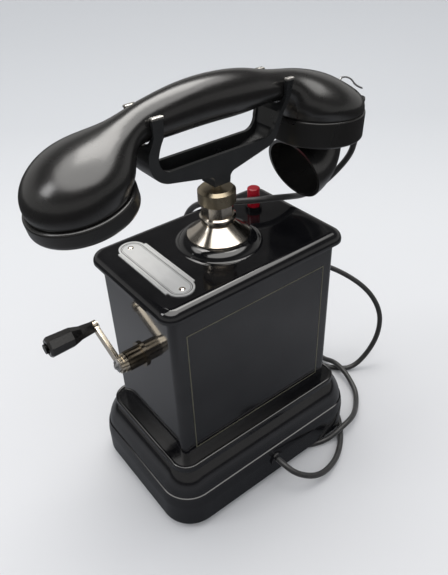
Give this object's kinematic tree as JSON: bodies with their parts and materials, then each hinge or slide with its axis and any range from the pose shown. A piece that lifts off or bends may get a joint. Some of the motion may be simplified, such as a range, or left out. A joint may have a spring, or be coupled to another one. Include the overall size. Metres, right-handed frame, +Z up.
{
  "type": "magneto table telephone",
  "caption": "Black enamelled table telephone with a sprung cradle column, lift-off handset with a horn mouthpiece, a crank generator, a red push button and a cord.",
  "frame": {"origin": "on the table, under the middle of the case and the column", "axes": "+Z up; +X along the case towards the mouthpiece end of the handset, so the crank is on the -X side; +Y away from the side with the cord hole"},
  "size_m": [0.3038, 0.1635, 0.3167],
  "materials": {
    "bakelite": "polished dark bakelite",
    "black_enamel": "gloss black stove enamel",
    "brass": "polished brass",
    "button_red": "red moulding",
    "cap_nickel": "satin worn nickel on brass",
    "copper": "enamelled copper wire",
    "cord_black": "black braided cotton",
    "cradle_black": "satin black enamel",
    "fibre": "brown fibre board",
    "gold_line": "fine pale gold line",
    "gong_nickel": "nickel plate",
    "iron": "dark iron",
    "magnet_steel": "dark red lacquered steel",
    "nickel": "warm nickel plate",
    "plate_metal": "brushed silver",
    "plinth_black": "gloss black moulding",
    "rubber": "matt black rubber",
    "steel": "bright steel",
    "tin": "tinned sheet",
    "worn_tip": "bare worn metal"
  },
  "bodies": {
    "base": {"plinth": "plinth_black", "bottom_plate": "steel", "feet": "rubber", "foot_screws": "steel", "cord_grommet": "plinth_black", "case_shell": "black_enamel", "case_lines": "gold_line", "lid": "black_enamel", "nameplate": "plate_metal", "nameplate_rivets": "nickel", "column_flange": "nickel", "column_waist": "nickel", "column_cap": "cap_nickel", "column_guide": "steel", "lift_spring": "steel", "crank_bush": "nickel", "button_bush": "black_enamel", "chassis": "steel", "case_screws": "steel", "generator_plates": "brass", "generator_screws": "steel", "magnets": "magnet_steel", "pole_pieces": "iron", "ringer_frame": "iron", "ringer_coils": "copper", "gongs": "gong_nickel", "gong_posts": "steel", "switch_bracket": "steel", "contact_springs": "brass", "switch_insulators": "fibre", "button_bracket": "fibre", "induction_winding": "copper", "induction_bobbin": "fibre", "condenser": "tin", "terminal_strip": "fibre", "terminal_screws": "brass", "cord": "cord_black"},
    "cradle": {"cradle": "cradle_black", "prong_tips": "worn_tip", "cradle_stem": "nickel"},
    "handset": {"handset_body": "bakelite", "ear_cap": "bakelite", "mouth_cap": "bakelite", "mouth_horn": "bakelite", "receiver_capsule": "nickel", "receiver_diaphragm": "iron", "transmitter_capsule": "nickel", "handset_gland": "bakelite", "cord_hook": "steel"},
    "crank": {"crank_shaft": "steel", "crank_arm": "nickel", "grip_pin": "steel", "drive_gear": "brass"},
    "grip": {"crank_grip": "bakelite"},
    "armature": {"armature_core": "iron", "armature_winding": "copper", "armature_shaft": "steel"},
    "clapper": {"clapper": "iron"},
    "button": {"push_button": "button_red"},
    "hook_lever": {"switch_lever": "steel"}
  },
  "joints": [
    {"name": "handset_lift", "type": "slide", "parent": "base", "child": "handset", "axis": [0, 0, 1], "range_m": [0, 0.12]},
    {"name": "cradle_rise", "type": "slide", "parent": "base", "child": "cradle", "axis": [0, 0, 1], "range_m": [0, 0.006], "deforming": ["lift_spring"]},
    {"name": "hook_lever_turn", "type": "hinge", "parent": "base", "child": "hook_lever", "pos_m": [0.024, 0, 0.176], "axis": [0, 1, 0], "range_deg": [0, 13.3]},
    {"name": "crank_turn", "type": "hinge", "parent": "base", "child": "crank", "pos_m": [-0.06, 0, 0.1355], "axis": [1, 0, 0], "continuous": true},
    {"name": "grip_turn", "type": "hinge", "parent": "crank", "child": "grip", "pos_m": [-0.109, 0.03289, 0.14912], "axis": [1, 0, 0], "continuous": true},
    {"name": "armature_turn", "type": "hinge", "parent": "base", "child": "armature", "pos_m": [-0.025, 0, 0.1055], "axis": [1, 0, 0], "continuous": true},
    {"name": "clapper_swing", "type": "hinge", "parent": "base", "child": "clapper", "pos_m": [0.048, 0, 0.119], "axis": [1, 0, 0], "range_deg": [-3.5, 3.5]},
    {"name": "button_press", "type": "slide", "parent": "base", "child": "button", "axis": [0, 0, -1], "range_m": [0, 0.003], "stiffness_N_per_m": 200, "springref_m": -0.003}
  ],
  "couplings": [
    {"joint": "cradle_rise", "follows": "handset_lift", "ratio": 0.05},
    {"joint": "hook_lever_turn", "follows": "handset_lift", "rad_per_m": 1.9199},
    {"joint": "armature_turn", "follows": "crank_turn", "ratio": -4}
  ]
}
